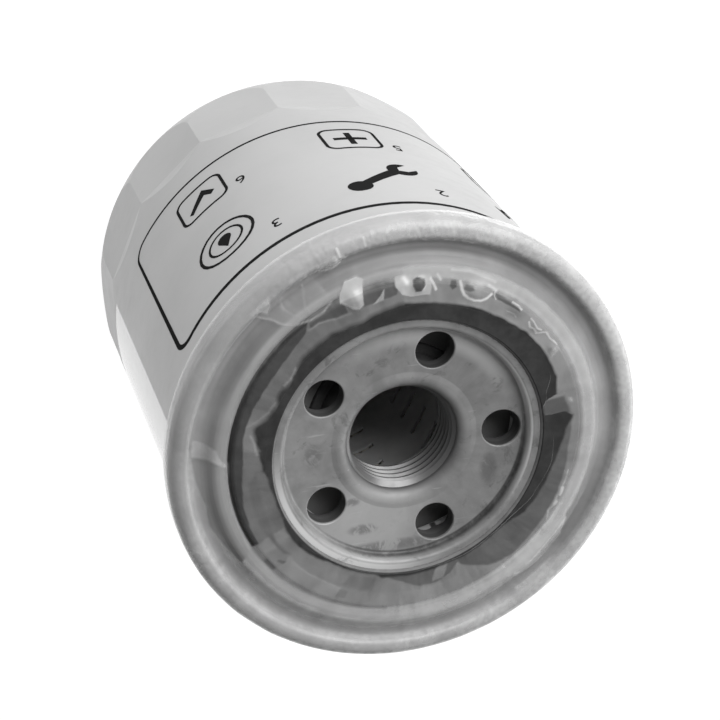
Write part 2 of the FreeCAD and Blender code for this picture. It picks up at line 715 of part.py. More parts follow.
failed = [item.Name for item in doc.Objects if {"Invalid", "Error"} & set(item.State)]
broken = [part.Label for part in parts if part.Shape.isNull() or not part.Shape.isValid()]
if failed or broken:
    raise RuntimeError(f"failed objects: {failed}; bad shapes: {broken}")

os.makedirs("parts", exist_ok=True)
for part in parts:
    part.Shape.exportStep(os.path.join("parts", f"{part.Label}.step"))
    print(part.Label, round(part.Shape.Volume, 1), len(part.Shape.Solids))
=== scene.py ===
import json
import math

import bmesh
import bpy
from mathutils import Matrix, Vector, noise


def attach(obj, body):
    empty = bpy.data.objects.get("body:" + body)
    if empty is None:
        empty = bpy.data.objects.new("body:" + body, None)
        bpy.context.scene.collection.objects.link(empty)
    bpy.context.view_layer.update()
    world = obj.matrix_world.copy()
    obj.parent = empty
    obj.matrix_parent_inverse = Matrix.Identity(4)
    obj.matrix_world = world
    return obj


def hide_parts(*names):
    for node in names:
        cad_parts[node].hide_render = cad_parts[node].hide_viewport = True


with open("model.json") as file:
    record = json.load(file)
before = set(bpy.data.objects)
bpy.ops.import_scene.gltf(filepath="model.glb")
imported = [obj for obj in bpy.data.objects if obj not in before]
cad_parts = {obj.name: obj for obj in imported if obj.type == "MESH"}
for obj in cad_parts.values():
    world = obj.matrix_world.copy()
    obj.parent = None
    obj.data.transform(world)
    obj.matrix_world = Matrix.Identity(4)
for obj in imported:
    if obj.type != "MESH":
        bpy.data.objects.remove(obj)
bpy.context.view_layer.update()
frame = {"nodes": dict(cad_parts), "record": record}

MM = 0.001

# Sizes of the solids that the looks follow, in millimetres.
CAN_RADIUS = 40.0
ELEMENT_TOP = 89.0
PORTS = 5
PORT_CIRCLE = 17.7
PORT_RADIUS = 3.5


# ---------------------------------------------------------------- materials

class Look:
    """A node-based material being put together. Lengths in it are in millimetres."""

    def __init__(self, name, **sockets):
        self.material = bpy.data.materials.new(name)
        self.material.use_nodes = True
        self.tree = self.material.node_tree
        self.shader = self.tree.nodes["Principled BSDF"]
        self.shader.inputs["Base Color"].default_value = (0.5, 0.5, 0.5, 1)
        for socket, value in sockets.items():
            self.shader.inputs[socket.replace("_", " ")].default_value = value
        scale = self.node("ShaderNodeVectorMath", operation="SCALE")
        scale.inputs["Scale"].default_value = 1 / MM
        self.link(self.node("ShaderNodeTexCoord").outputs["Object"], scale.inputs[0])
        self.place = scale.outputs[0]
        parts = self.node("ShaderNodeSeparateXYZ")
        self.link(self.place, parts.inputs[0])
        self.x, self.y, self.z = parts.outputs
        self.angle = self.math("ARCTAN2", self.y, self.x)
        self.radius = self.length(self.x, self.y)

    def node(self, kind, **settings):
        made = self.tree.nodes.new(kind)
        for key, value in settings.items():
            setattr(made, key, value)
        return made

    def link(self, start, end):
        self.tree.links.new(start, end)

    def feed(self, socket, value):
        """Sets a socket to a number, or links it."""
        if isinstance(value, (int, float)):
            socket.default_value = value
        else:
            self.link(value, socket)

    def math(self, operation, *values, clamp=False):
        made = self.node("ShaderNodeMath", operation=operation, use_clamp=clamp)
        for socket, value in zip(made.inputs, values):
            self.feed(socket, value)
        return made.outputs[0]

    def times(self, first, *others):
        """Product of the values."""
        for value in others:
            first = self.math("MULTIPLY", first, value)
        return first

    def length(self, across, along):
        """Length of the diagonal."""
        return self.math("SQRT", self.math("ADD", self.times(across, across), self.times(along, along)))

    def smooth(self, value, low, high, start=0.0, end=1.0):
        """Runs from start to end as value goes from low to high."""
        made = self.node("ShaderNodeMapRange", interpolation_type="SMOOTHSTEP")
        self.link(value, made.inputs["Value"])
        for socket, number in zip(("From Min", "From Max", "To Min", "To Max"), (low, high, start, end)):
            made.inputs[socket].default_value = number
        return made.outputs["Result"]

    def between(self, value, low, full, still, high):
        """Rises from 0 at low to 1 at full, and falls from 1 at still to 0 at high."""
        return self.times(self.smooth(value, low, full), self.smooth(value, still, high, 1, 0))

    def blot(self, at_x, at_y, wide, deep):
        """1 at a place, running out to 0 at an ellipse round it."""
        across = self.math("DIVIDE", self.math("SUBTRACT", self.x, at_x), wide)
        along = self.math("DIVIDE", self.math("SUBTRACT", self.y, at_y), deep)
        off = self.math("ADD", self.times(across, across), self.times(along, along))
        return self.smooth(off, 0.0, 1.0, 1.0, 0.0)

    def noise(self, size, detail=3.0, roughness=0.5, distortion=0.0, place=None, seed=0.0):
        """Noise whose features are about size millimetres across."""
        made = self.node("ShaderNodeTexNoise", noise_dimensions="4D")
        made.inputs["Scale"].default_value = 1.0 / size
        made.inputs["Detail"].default_value = detail
        made.inputs["Roughness"].default_value = roughness
        made.inputs["Distortion"].default_value = distortion
        made.inputs["W"].default_value = seed
        self.link(place or self.place, made.inputs["Vector"])
        return made.outputs["Fac"]

    def stretched(self, x=1.0, y=1.0, z=1.0, turn=0.0):
        """The place with its axes scaled, for streaks."""
        made = self.node("ShaderNodeMapping")
        made.inputs["Scale"].default_value = (x, y, z)
        made.inputs["Rotation"].default_value = (0, 0, turn)
        self.link(self.place, made.inputs["Vector"])
        return made.outputs[0]

    def wound(self, around, outward, up):
        """The place as angle, radius and height, each scaled, for marks that run round the axis."""
        joined = self.node("ShaderNodeCombineXYZ")
        self.link(self.times(self.angle, around), joined.inputs[0])
        self.link(self.times(self.radius, outward), joined.inputs[1])
        self.link(self.times(self.z, up), joined.inputs[2])
        return joined.outputs[0]

    def tint(self, factor, dark, light):
        """Base colour between two greys or colours."""
        made = self.node("ShaderNodeMix", data_type="RGBA")
        for socket, value in ((made.inputs[6], dark), (made.inputs[7], light)):
            if isinstance(value, (int, float)):
                value = (value, value, value)
            if isinstance(value, tuple):
                socket.default_value = (*value, 1)
            else:
                self.link(value, socket)
        self.feed(made.inputs[0], factor)
        return made.outputs[2]

    def cover(self, base, tone, *shares):
        """Lays a tone over the base, as far as all the shares allow."""
        return self.tint(self.times(*shares), base, tone)

    def colour(self, value):
        self.link(value, self.shader.inputs["Base Color"])

    def rough(self, value):
        self.link(value, self.shader.inputs["Roughness"])

    def bump(self, height, depth):
        """Relief of that depth in millimetres where height runs from 0 to 1."""
        made = self.node("ShaderNodeBump")
        made.inputs["Strength"].default_value = 1.0
        made.inputs["Distance"].default_value = depth * MM
        self.link(height, made.inputs["Height"])
        self.link(made.outputs["Normal"], self.shader.inputs["Normal"])


# The varnished band on the can: angle from -X in radians, and height. It fades in and out at its edges.
VARNISH_TURN = (-0.129, -0.117, 0.55, 0.57)
VARNISH_HEIGHT = (34.4, 34.9, 93.1, 93.6)


def can_paint():
    look = Look("can_paint", Roughness=0.32, Specular_IOR_Level=0.2, Coat_Roughness=0.05, Coat_IOR=1.9)
    cloud = look.noise(26)
    scuffs = look.noise(4, detail=6, roughness=0.7, place=look.stretched(z=1.8), seed=4)
    base = look.tint(look.smooth(cloud, 0.35, 0.65), 0.40, 0.43)
    look.colour(look.cover(base, 0.34, look.smooth(scuffs, 0.7, 0.78, 0, 0.2)))
    look.rough(look.smooth(scuffs, 0.4, 0.75, 0.3, 0.4))
    turn = look.math("ARCTAN2", look.times(look.y, -1), look.times(look.x, -1))
    varnish = look.times(look.between(turn, *VARNISH_TURN), look.between(look.z, *VARNISH_HEIGHT))
    look.link(varnish, look.shader.inputs["Coat Weight"])
    look.bump(look.noise(1.1, detail=2), 0.003)
    return look.material


def lid_steel():
    look = Look("lid_steel", Metallic=0.1, Roughness=0.5)
    radius, y = look.radius, look.y
    cloud = look.noise(9, detail=4, roughness=0.55)
    drawn = look.noise(1.6, place=look.wound(14, 0.5, 0.5))
    base = look.tint(look.smooth(cloud, 0.3, 0.7), 0.27, 0.33)
    base = look.cover(base, 0.38, look.smooth(drawn, 0.35, 0.7, 0, 0.25))
    # Painted shade makes the channel duller, and a painted highlight makes the bead's crest brighter.
    base = look.cover(base, 0.2, 0.2, look.between(radius, 34.8, 36.0, 37.6, 38.4))
    base = look.cover(base, 0.4, 0.5, look.between(radius, 31.9, 32.3, 33.6, 34.6))
    # Painted shade: the bead's outer slope is darker on one side, towards +y, and the channel's outer wall on
    # the opposite side.
    slope = look.between(radius, 33.6, 34.4, 36.4, 37.2)
    base = look.cover(base, 0.11, slope, look.smooth(y, 2.0, 24.0, 0, 0.75))
    wall = look.between(radius, 36.0, 36.8, 38.3, 38.9)
    look.colour(look.cover(base, 0.13, wall, look.smooth(y, -20.0, 4.0, 0.75, 0)))
    look.rough(look.smooth(cloud, 0.3, 0.7, 0.45, 0.58))
    look.bump(drawn, 0.004)
    return look.material


# Darker patches on the floor of the base plate: oily smears, and last a long band along the foot of the
# raised ring. Each is x, y, half width, half depth.
DARKER_PATCHES = ((15.4, -7.6, 2.0, 4.0), (-9.6, -10.6, 1.8, 1.0), (-7.8, -16.2, 3.4, 1.3), (-16.5, -0.4, 2.4, 2.8),
          (16.6, 9.0, 1.6, 2.4), (-4.0, -20.2, 12.0, 1.5))


def ring_marks(look, base, stain):
    """Painted highlights and shade on the raised ring of the base plate and beside it."""
    radius = look.radius
    # A painted highlight brightens the ring's crest on one side, and painted light brightens its inner slope
    # on the other.
    base = look.cover(base, 0.72, look.smooth(radius, 22.8, 23.2), look.blot(-16.0, -16.0, 27.0, 21.0))
    base = look.cover(base, 0.4, look.smooth(radius, 24.1, 24.2, 0, 0.6))
    slope = look.between(radius, 21.9, 22.1, 22.6, 22.9)
    base = look.cover(base, 0.75, slope, look.blot(22.0, 6.0, 20.0, 22.0))
    # Painted shade darkens the corner at the foot of the ring in patches, on the side towards x 0.423, y
    # -0.906.
    side = look.math("SUBTRACT", look.times(look.x, 0.423), look.times(look.y, 0.906))
    corner = look.times(look.smooth(radius, 21.2, 21.6), look.smooth(look.z, 98.3, 99.4, 1, 0))
    patchy = look.smooth(stain, 0.3, 0.6, 0.65, 0.95)
    base = look.cover(base, 0.04, corner, look.smooth(side, 2.0, 17.0), patchy)
    # Painted light brightens the floor along the ring on the other side, where the ring's shadow falls.
    floor = look.between(radius, 17.5, 20.0, 22.2, 22.6)
    return look.cover(base, 0.55, 0.8, floor, look.blot(9.0, 19.0, 21.0, 17.0))


def mouth_marks(look, base, thread):
    """Painted shade in the mouth of the neck, a painted highlight beside it, and the cut thread."""
    radius = look.radius
    # Painted shade: darker deeper in the mouth and towards -y.
    depth = look.math("ADD", look.smooth(look.z, 96.0, 97.6, 1, 0), look.smooth(look.y, -8.0, -1.0, 0.8, 0),
                      clamp=True)
    base = look.cover(base, 0.12, 0.75, look.smooth(radius, 9.9, 12.2, 1, 0), depth)
    # Painted highlight beside the mouth, towards x 8.5, y 4.
    base = look.cover(base, 0.6, 0.35, look.blot(8.5, 4.0, 6.0, 9.0), look.smooth(radius, 11.2, 12.4, 1, 0))
    return look.cover(base, 0.17, thread)


def port_walls(look):
    """1 on the punched walls of the ports."""
    step = math.radians(360 / PORTS)
    turn = look.math("WRAP", look.angle, step / 2, -step / 2)
    across = look.times(look.radius, look.math("SINE", turn))
    along = look.math("SUBTRACT", look.times(look.radius, look.math("COSINE", turn)), PORT_CIRCLE)
    reach = look.length(across, along)
    return look.times(look.smooth(reach, PORT_RADIUS + 0.05, PORT_RADIUS + 0.1, 1, 0),
                      look.smooth(look.z, 97.0, 97.35, 1, 0))


def plate_steel():
    look = Look("plate_steel")
    cloud = look.noise(7.0, detail=5, roughness=0.62, distortion=0.6)
    stain = look.noise(4.6, detail=6, roughness=0.7, distortion=1.2, seed=7)
    drawn = look.noise(1.2, place=look.wound(9, 0.35, 0.35), seed=2)
    scratch = look.noise(0.8, detail=1, place=look.stretched(0.12, 1.6, turn=0.9), seed=5)
    thread = look.times(look.smooth(look.radius, 9.9, 10.3, 1, 0), look.smooth(look.z, 96.4, 96.9, 1, 0))
    base = look.tint(look.smooth(cloud, 0.3, 0.7), 0.20, 0.27)
    base = look.cover(base, 0.10, look.smooth(stain, 0.55, 0.66, 0, 0.6))
    base = look.cover(base, 0.5, look.smooth(scratch, 0.7, 0.76, 0, 0.4))
    base = look.cover(base, 0.4, look.smooth(drawn, 0.4, 0.75, 0, 0.25))
    # A painted highlight brightens the metal on one side of the boss.
    base = look.cover(base, 0.5, 0.6, look.blot(-7.0, -15.0, 14.0, 11.0))
    base = ring_marks(look, base, stain)
    base = mouth_marks(look, base, thread)
    for darker_patch in DARKER_PATCHES:
        base = look.cover(base, 0.12, 0.65, look.blot(*darker_patch), look.smooth(stain, 0.42, 0.52))
    # Painted light brightens the underside, and painted shade darkens the walls of the ports.
    under = look.times(look.smooth(look.z, 95.6, 96.0, 1, 0), look.smooth(look.radius, 10.6, 10.9))
    base = look.cover(base, 0.62, under)
    look.colour(look.cover(base, 0.05, 0.93, port_walls(look)))
    look.link(look.smooth(thread, 0.0, 1.0, 0.2, 0.6), look.shader.inputs["Metallic"])
    look.rough(look.math("SUBTRACT", look.smooth(stain, 0.4, 0.7, 0.5, 0.62), look.times(thread, 0.14)))
    look.bump(look.noise(0.7, seed=3), 0.008)
    return look.material


def rubber(name, low, high):
    look = Look(name, Roughness=0.7, Specular_IOR_Level=0.3)
    bloom = look.noise(3.0, detail=5, roughness=0.65)
    look.colour(look.tint(look.smooth(bloom, 0.35, 0.7), low, high))
    look.rough(look.smooth(bloom, 0.3, 0.7, 0.5, 0.7))
    look.bump(look.noise(0.35, detail=2, seed=1), 0.015)
    return look.material


def inner_steel():
    look = Look("inner_steel", Metallic=0.2, Roughness=0.4)
    spangle = look.node("ShaderNodeTexVoronoi")
    spangle.inputs["Scale"].default_value = 0.3
    look.link(look.place, spangle.inputs["Vector"])
    cloud = look.noise(5, detail=4)
    base = look.tint(look.smooth(cloud, 0.3, 0.7), 0.58, 0.68)
    base = look.cover(base, 0.68, look.smooth(spangle.outputs["Distance"], 0.2, 0.9, 0, 0.3))
    # The face of the top cap, under the ports, is darker.
    look.colour(look.cover(base, 0.2, look.smooth(look.z, ELEMENT_TOP - 1.2, ELEMENT_TOP - 0.8, 0, 0.75)))
    look.rough(look.smooth(cloud, 0.3, 0.7, 0.3, 0.48))
    look.bump(look.noise(0.6), 0.01)
    return look.material


def paper():
    look = Look("filter_paper", Roughness=0.85)
    fibre = look.noise(0.5, detail=6, roughness=0.7, place=look.stretched(z=0.25))
    cloud = look.noise(6, seed=2)
    base = look.tint(look.smooth(cloud, 0.3, 0.7), (0.72, 0.70, 0.64), (0.80, 0.78, 0.72))
    look.colour(look.cover(base, (0.6, 0.58, 0.52), look.smooth(fibre, 0.35, 0.7, 0, 0.4)))
    look.bump(fibre, 0.04)
    return look.material


def plain(name, size, detail, dark, light, relief, **sockets):
    """A cloudy material without marks."""
    look = Look(name, **sockets)
    cloud = look.noise(size, detail=detail)
    look.colour(look.tint(look.smooth(cloud, 0.3, 0.7), dark, light))
    look.bump(cloud, relief)
    return look.material


def spring_steel():
    look = Look("spring_steel", Metallic=0.8, Roughness=0.35)
    cloud = look.noise(1.5, detail=4)
    look.colour(look.tint(look.smooth(cloud, 0.3, 0.7), 0.16, 0.26))
    look.rough(look.smooth(cloud, 0.3, 0.7, 0.28, 0.42))
    return look.material


def ink():
    look = Look("ink", Roughness=0.6, Specular_IOR_Level=0.0)
    wear = look.noise(0.7, detail=5, roughness=0.7)
    look.colour(look.tint(look.smooth(wear, 0.62, 0.72), 0.018, 0.06))
    look.rough(look.smooth(wear, 0.3, 0.7, 0.34, 0.5))
    return look.material


def film_look():
    """Clear film, as cloudy as the mesh's own values say, and cloudier where it is seen edge on."""
    look = Look("film", Roughness=0.24, IOR=1.45)
    streak = look.noise(2.2, place=look.wound(16, 0.35, 0.5), distortion=0.4)
    cloud = look.noise(5.5, distortion=0.8, seed=3)
    haze = look.node("ShaderNodeAttribute", attribute_name="haze").outputs["Fac"]
    patchy, streaky = look.smooth(cloud, 0.3, 0.7, 0.88, 1.12), look.smooth(streak, 0.25, 0.7, 0.92, 1.08)
    haze = look.times(haze, patchy, streaky)
    facing = look.node("ShaderNodeLayerWeight")
    facing.inputs["Blend"].default_value = 0.35
    rim = look.smooth(facing.outputs["Facing"], 0.45, 0.95, 0.0, 0.75)
    look.link(look.math("ADD", haze, rim, clamp=True), look.shader.inputs["Alpha"])
    look.colour(look.tint(look.smooth(streak, 0.3, 0.7), 0.72, 0.82))
    look.bump(streak, 0.02)
    return look.material


def floor_look():
    look = Look("floor", Roughness=0.8, Specular_IOR_Level=0.0)
    look.colour(look.tint(look.noise(60, detail=2), 0.14, 0.16))
    look.shader.inputs["Emission Color"].default_value = (1, 1, 1, 1)
    look.shader.inputs["Emission Strength"].default_value = 0.97
    return look.material


LOOKS = {
    "can_paint": can_paint(),
    "lid_steel": lid_steel(),
    "plate_steel": plate_steel(),
    "gasket_rubber": rubber("gasket_rubber", 0.026, 0.042),
    # The lip is the gasket's rubber painted lighter, painted light over the shade in the gap by the ring.
    "lit_lip_rubber": rubber("lit_lip_rubber", 0.14, 0.2),
    "seal_rubber": rubber("seal_rubber", 0.06, 0.09),
    "compound": plain("compound", 1.2, 4, 0.34, 0.5, 0.05, Roughness=0.7),
    "inner_steel": inner_steel(),
    "weld": plain("weld", 0.8, 4, 0.16, 0.36, 0.03, Metallic=0.7, Roughness=0.5),
    "paper": paper(),
    "potting": plain("potting", 3, 5, (0.62, 0.6, 0.52), (0.74, 0.72, 0.64), 0.1, Roughness=0.5),
    "spring_steel": spring_steel(),
    "film": film_look(),
    "ink": ink(),
    "floor": floor_look(),
}


def dress_nodes():
    """Gives every CAD node the material of its slot."""
    for row in frame["record"]["subparts"]:
        piece = frame["nodes"][row["node"]]
        for place in piece.material_slots:
            place.material = LOOKS[row["material_slot"]]


def piece_from(mesh, name, look):
    """Makes a piece from a mesh being built, with one of the looks."""
    data = bpy.data.meshes.new(name)
    mesh.to_mesh(data)
    mesh.free()
    data.materials.append(LOOKS[look])
    piece = bpy.data.objects.new(name, data)
    bpy.context.scene.collection.objects.link(piece)
    return piece


# ---------------------------------------------------------------- printed panel on the can

# The ink reaches a little into the can, and stands a little off it.
INK_FOOT = -0.02
INK_TOP = 0.035

# The panel's frame line, the columns and rows of its figures, and the height of its numbers.
PANEL_SIDES = (19, 155)
PANEL_LOW, PANEL_HIGH = 41.3, 86.3
PANEL_CORNER = 3.4
LINE_LOW, LINE_HIGH = 0.62, 1.02
COLUMNS = (41, 85, 129)
NEAR_ROW, FAR_ROW = 72.6, 51.4
NUMBER_HEIGHT = 3.0


def polygon(mesh, points):
    mesh.faces.new([mesh.verts.new((x, y, 0)) for x, y in points])


def block(mesh, x, y, half_width, half_height):
    polygon(mesh, [(x - half_width, y - half_height), (x + half_width, y - half_height),
                   (x + half_width, y + half_height), (x - half_width, y + half_height)])


def ribbon(mesh, points, widths, closed=False):
    """A line through flat points, with one width or a width for each point."""
    count = len(points)
    sides = []
    for i, (x, y) in enumerate(points):
        before = points[(i - 1) % count] if closed or i else points[i]
        after = points[(i + 1) % count] if closed or i < count - 1 else points[i]
        along = Vector((after[0] - before[0], after[1] - before[1])).normalized()
        width = widths[i] if isinstance(widths, list) else widths
        across = Vector((-along.y, along.x)) * width / 2
        sides.append([mesh.verts.new((x + s * across.x, y + s * across.y, 0)) for s in (-1, 1)])
    for i in range(count if closed else count - 1):
        a, b = sides[i], sides[(i + 1) % count]
        mesh.faces.new((a[0], b[0], b[1], a[1]))


def arc(x, y, radius, start, end, steps=24):
    """Points on an arc, angles in degrees."""
    angles = [math.radians(start + (end - start) * i / steps) for i in range(steps + 1)]
    return [(x + radius * math.cos(a), y + radius * math.sin(a)) for a in angles]


def rounded(x0, y0, x1, y1, radius):
    """Points round a rectangle with rounded corners, and short steps along its sides."""
    corners = ((x1 - radius, y1 - radius, 0), (x0 + radius, y1 - radius, 90),
               (x0 + radius, y0 + radius, 180), (x1 - radius, y0 + radius, 270))
    points = []
    for x, y, start in corners:
        points += arc(x, y, radius, start, start + 90, 10)
    dense = []
    for i, here in enumerate(points):
        after = points[(i + 1) % len(points)]
        pieces = max(1, round(math.dist(here, after) / 2.0))
        dense += [(here[0] + (after[0] - here[0]) * k / pieces,
                   here[1] + (after[1] - here[1]) * k / pieces) for k in range(pieces)]
    return dense


def numeral(mesh, number, x, y):
    """A plain number with its middle at x, y."""
    curve = bpy.data.curves.new("numeral", "FONT")
    curve.body = str(number)
    curve.size = NUMBER_HEIGHT / 0.7
    curve.align_x = "CENTER"
    curve.align_y = "CENTER"
    holder = bpy.data.objects.new("numeral", curve)
    flat = bpy.data.meshes.new_from_object(holder)
    flat.transform(Matrix.Translation((x, y, 0)))
    mesh.from_mesh(flat)
    bpy.data.objects.remove(holder)
    bpy.data.curves.remove(curve)
    bpy.data.meshes.remove(flat)


def wrap(mesh):
    """Thickens flat shapes and lays them round the can: x runs round it, y up it."""
    raised = bmesh.ops.extrude_face_region(mesh, geom=mesh.faces[:])["geom"]
    for vertex in (v for v in raised if isinstance(v, bmesh.types.BMVert)):
        vertex.co.z = 1.0
    across = [v.co.x for v in mesh.verts]
    x = min(across) + 1.0
    while x < max(across):
        everything = mesh.verts[:] + mesh.edges[:] + mesh.faces[:]
        bmesh.ops.bisect_plane(mesh, geom=everything, plane_co=(x, 0, 0), plane_no=(1, 0, 0), dist=1e-5)
        x += 1.0
    for vertex in mesh.verts:
        angle = vertex.co.x / CAN_RADIUS
        radius = (CAN_RADIUS + (INK_TOP if vertex.co.z > 0.5 else INK_FOOT)) * MM
        vertex.co = Vector((radius * math.cos(angle), radius * math.sin(angle), vertex.co.y * MM))
    bmesh.ops.recalc_face_normals(mesh, faces=mesh.faces)


def at(degrees):
    """Distance round the can of an angle."""
    return math.radians(degrees) * CAN_RADIUS


def rings_and_drop(mesh, x, y):
    ribbon(mesh, arc(x, y, 6.0, 0, 360)[:-1], 0.65, closed=True)
    ribbon(mesh, arc(x, y, 3.7, 0, 360)[:-1], 0.5, closed=True)
    polygon(mesh, [(x, y + 2.5)] + arc(x, y - 0.7, 1.5, 40, -220, 16))


def spanner(mesh, x, y):
    turn = math.radians(38)
    jaw, eye = -6.2, 6.4
    outline = arc(jaw, 0, 2.9, 152, 24, 12)
    outline += arc(eye, 0, 2.3, 153, -153, 14)
    outline += arc(jaw, 0, 2.9, -24, -152, 12)
    outline += [(-6.4, -1.3), (-5.2, 0), (-6.4, 1.3)]
    polygon(mesh, [(x + a * math.cos(turn) - b * math.sin(turn),
                    y + a * math.sin(turn) + b * math.cos(turn)) for a, b in outline])


def turning_arrow(mesh, x, y):
    ribbon(mesh, arc(x, y, 5.2, 60, 345), 0.9)
    polygon(mesh, [(x + 3.0, y - 1.2), (x + 7.2, y - 1.2), (x + 5.3, y + 2.6)])


def tick(mesh, x, y):
    polygon(mesh, [(x - 3.2, y + 0.3), (x - 2.2, y + 1.2), (x - 0.9, y - 0.5), (x + 2.7, y + 3.1),
                   (x + 3.4, y + 2.3), (x - 0.9, y - 2.9)])


def plus(mesh, x, y):
    block(mesh, x, y, 3.2, 0.6)
    block(mesh, x, y, 0.6, 3.2)


def bars(mesh, x, y):
    for step, half_width in ((-2.2, 3.2), (0.0, 2.2), (2.2, 1.2)):
        block(mesh, x, y + step, half_width, 0.6)


def print_panel():
    """Frame line, plain numbers 1 to 6 and six simple figures for fitting a filter."""
    mesh = bmesh.new()
    left, right = (at(degrees) for degrees in PANEL_SIDES)
    frame_points = rounded(left, PANEL_LOW, right, PANEL_HIGH, PANEL_CORNER)
    taper = (LINE_HIGH - LINE_LOW) / (PANEL_HIGH - PANEL_LOW)
    widths = [LINE_LOW + taper * (y - PANEL_LOW) for x, y in frame_points]
    ribbon(mesh, frame_points, widths, closed=True)
    columns = [at(degrees) for degrees in COLUMNS]
    for x, figure in zip(columns, (turning_arrow, spanner, rings_and_drop)):
        figure(mesh, x, NEAR_ROW)
    for x, figure in zip(columns, (bars, plus, tick)):
        ribbon(mesh, rounded(x - 5.2, FAR_ROW - 5.2, x + 5.2, FAR_ROW + 5.2, 2.0), 0.6, closed=True)
        figure(mesh, x, FAR_ROW)
    for i, x in enumerate(columns):
        numeral(mesh, i + 1, x - 9.2, NEAR_ROW + 6.5)
        numeral(mesh, i + 4, x - 8.2, FAR_ROW + 3.6)
    wrap(mesh)
    piece = piece_from(mesh, "print_panel", "ink")
    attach(piece, "housing")


# ---------------------------------------------------------------- lip of the gasket

# Section of the lip: radius, height.
LIP = ((24.02, 99.80), (24.02, 99.98), (24.2, 100.22), (24.42, 100.44), (24.62, 100.58), (24.7, 100.4),
       (24.5, 99.8))
LIP_STEPS = 360


def gasket_lip():
    """Thin rubber lip that closes the gap between the gasket and the raised ring."""
    mesh = bmesh.new()
    sections = []
    for j in range(LIP_STEPS):
        angle = 2 * math.pi * j / LIP_STEPS
        across, along = math.cos(angle) * MM, math.sin(angle) * MM
        sections.append([mesh.verts.new((r * across, r * along, z * MM)) for r, z in LIP])
    for here, after in zip(sections, sections[1:] + sections[:1]):
        for k in range(len(LIP)):
            m = (k + 1) % len(LIP)
            face = mesh.faces.new((here[k], after[k], after[m], here[m]))
            face.smooth = True
    bmesh.ops.recalc_face_normals(mesh, faces=mesh.faces)
    lip = piece_from(mesh, "gasket_lip", "lit_lip_rubber")
    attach(lip, "housing")


# ---------------------------------------------------------------- shrink film

# Path of the film up the side and over the rim: radius, height. Then the flap goes on inward.
FILM_PATH = ((42.14, 95.65), (42.16, 96.6), (42.14, 97.6), (42.13, 98.5), (41.95, 99.2), (41.5, 99.9),
             (40.9, 100.3), (40.2, 100.46), (39.5, 100.46), (39.0, 100.3), (38.6, 99.9), (38.2, 99.45),
             (37.6, 99.1), (36.9, 99.0), (36.2, 99.2), (35.6, 99.6), (35.0, 100.05), (34.4, 100.36),
             (33.6, 100.42), (32.8, 100.42), (32.2, 100.46), (31.6, 100.62), (31.0, 100.76))
FLAP_START = 31.0
FLAP_HEIGHT = 100.78
# Where the flap ends: angle, radius.
FLAP_EDGE = ((-188, 25.7), (-173, 24.7), (-158, 24.5), (-143, 24.9), (-128, 24.3), (-108, 24.2), (-93, 24.4),
             (-78, 24.2), (-58, 24.2), (-43, 24.3), (-28, 25.9), (-13, 26.6), (-3, 26.2), (4, 24.9),
             (10, 24.4), (16, 25.6), (24, 27.6), (37, 28.1), (52, 27.7), (72, 27.3), (87, 27.4), (102, 27.0),
             (110, 26.5), (122, 27.2), (134, 27.1), (143, 26.2), (152, 26.1), (162, 26.6), (172, 25.7))


def ramp(x, low, high):
    """0 at low, 1 at high, and straight between them."""
    return max(0.0, min(1.0, (x - low) / (high - low)))


def mixed(first, second, share):
    return first + (second - first) * share


def softened(t):
    """The same from 0 to 1, with a slow start and a slow end."""
    return t * t * (3 - 2 * t)


def eased(table, x):
    """Value at x of a table of (x, value), with smooth passages between the entries."""
    for (x0, y0), (x1, y1) in zip(table, table[1:]):
        if x0 <= x <= x1:
            return mixed(y0, y1, softened((x - x0) / (x1 - x0)))
    return table[-1][1]


def resampled(points, count):
    """Evenly spaced points along a polyline."""
    spans = [0.0]
    for a, b in zip(points, points[1:]):
        spans.append(spans[-1] + math.dist(a, b))
    result = []
    k = 0
    for i in range(count):
        s = spans[-1] * i / (count - 1)
        while k < len(spans) - 2 and spans[k + 1] < s:
            k += 1
        t = (s - spans[k]) / (spans[k + 1] - spans[k])
        result.append(tuple(mixed(a, b, t) for a, b in zip(points[k], points[k + 1])))
    return result


def spline(points, steps=6):
    """Smooth curve through the points."""
    result = []
    for i in range(len(points) - 1):
        p0 = Vector(points[max(i - 1, 0)])
        p1, p2 = Vector(points[i]), Vector(points[i + 1])
        p3 = Vector(points[min(i + 2, len(points) - 1)])
        for k in range(steps):
            t = k / steps
            result.append(tuple(0.5 * (2 * p1 + (p2 - p0) * t + (2 * p0 - 5 * p1 + 4 * p2 - p3) * t * t
                                       + (3 * p1 - p0 - 3 * p2 + p3) * t ** 3)))
    return result + [tuple(points[-1])]


# Lumps in the film: angle, radius, spread round, spread outward, height.
LUMPS = ((108, 31.6, 2.2, 1.4, 0.5), (87, 30.8, 1.8, 1.1, 0.5), (68, 30.2, 4.0, 1.2, 0.45),
         (52, 30.4, 2.0, 0.9, 0.3), (42, 30.2, 2.0, 0.8, 0.3), (32, 30.0, 1.6, 0.7, 0.25),
         (128, 36.5, 3.0, 2.0, 0.3), (110, 38.0, 2.2, 1.6, 0.3), (-50, 36.3, 5.0, 1.8, 0.2),
         (-152, 31.0, 4.0, 2.5, 0.2))

# The cloudiness of the film is laid out on a rim of radius 40 and an angle counted from 8 degrees before
# the first port, then brought to the real rim.
MARK_TURN = 8.0
MARK_SCALE = 1.05
# Their outlines are worked out flat, with this many millimetres round the rim to a degree.
MARK_STEP = 0.54

